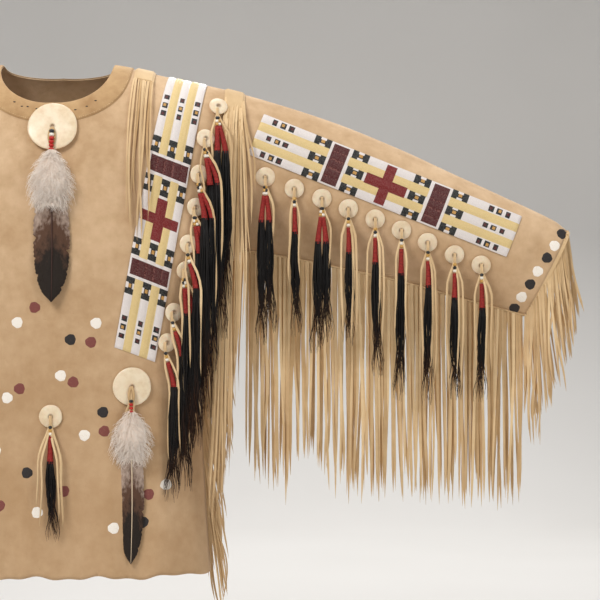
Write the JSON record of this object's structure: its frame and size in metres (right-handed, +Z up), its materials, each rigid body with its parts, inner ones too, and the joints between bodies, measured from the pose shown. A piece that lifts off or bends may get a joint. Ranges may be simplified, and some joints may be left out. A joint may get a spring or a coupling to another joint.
{
  "type": "plains war shirt",
  "caption": "Hollow worn buckskin shirt with beaded strips on shoulders and sleeves, long cut fringes, shell discs with hair locks, feathers and painted dots.",
  "frame": {"origin": "middle of the neck opening, level with the top of the shoulders, where the wearer holds the shirt up", "axes": "+X out along the wearer's left sleeve, -Y to the front, +Z up"},
  "size_m": [1.628, 0.2684, 0.8874],
  "materials": {
    "buckskin": "napped smoke-tanned hide",
    "thong": "cut hide thongs, lighter than the panels",
    "beadwork": "rows of glass seed beads in white, yellow, dark red and black",
    "shell": "ivory shell or bone, softly polished",
    "hair": "black horse hair with red wrapping and beads",
    "feather": "mottled brown vane with pale fluff"
  },
  "bodies": {
    "root": {"back_panel": "buckskin", "chest_drop": "shell", "front_panel": "buckskin", "left_armhole_fringe": "thong", "left_belly_disc": "shell", "left_belly_feather": "feather", "left_cuff_fringe": "thong", "left_inner_fringe": "thong", "left_shoulder_drop_1": "hair", "left_shoulder_drop_2": "hair", "left_shoulder_drop_3": "hair", "left_shoulder_drop_4": "hair", "left_shoulder_drop_5": "hair", "left_shoulder_drop_6": "hair", "left_shoulder_drop_7": "hair", "left_shoulder_drop_8": "hair", "left_shoulder_strip": "beadwork", "left_side_fringe": "thong", "left_sleeve": "buckskin", "left_sleeve_drop_1": "hair", "left_sleeve_drop_2": "hair", "left_sleeve_drop_3": "hair", "left_sleeve_drop_4": "hair", "left_sleeve_drop_5": "hair", "left_sleeve_drop_6": "hair", "left_sleeve_drop_7": "hair", "left_sleeve_drop_8": "hair", "left_sleeve_drop_9": "hair", "left_sleeve_fringe": "thong", "left_sleeve_strip": "beadwork", "neck_band": "buckskin", "neck_disc": "shell", "neck_feather": "feather", "right_armhole_fringe": "thong", "right_belly_disc": "shell", "right_belly_feather": "feather", "right_cuff_fringe": "thong", "right_inner_fringe": "thong", "right_shoulder_drop_1": "hair", "right_shoulder_drop_2": "hair", "right_shoulder_drop_3": "hair", "right_shoulder_drop_4": "hair", "right_shoulder_drop_5": "hair", "right_shoulder_drop_6": "hair", "right_shoulder_drop_7": "hair", "right_shoulder_drop_8": "hair", "right_shoulder_strip": "beadwork", "right_side_fringe": "thong", "right_sleeve": "buckskin", "right_sleeve_drop_1": "hair", "right_sleeve_drop_2": "hair", "right_sleeve_drop_3": "hair", "right_sleeve_drop_4": "hair", "right_sleeve_drop_5": "hair", "right_sleeve_drop_6": "hair", "right_sleeve_drop_7": "hair", "right_sleeve_drop_8": "hair", "right_sleeve_drop_9": "hair", "right_sleeve_fringe": "thong", "right_sleeve_strip": "beadwork"}
  },
  "joints": []
}
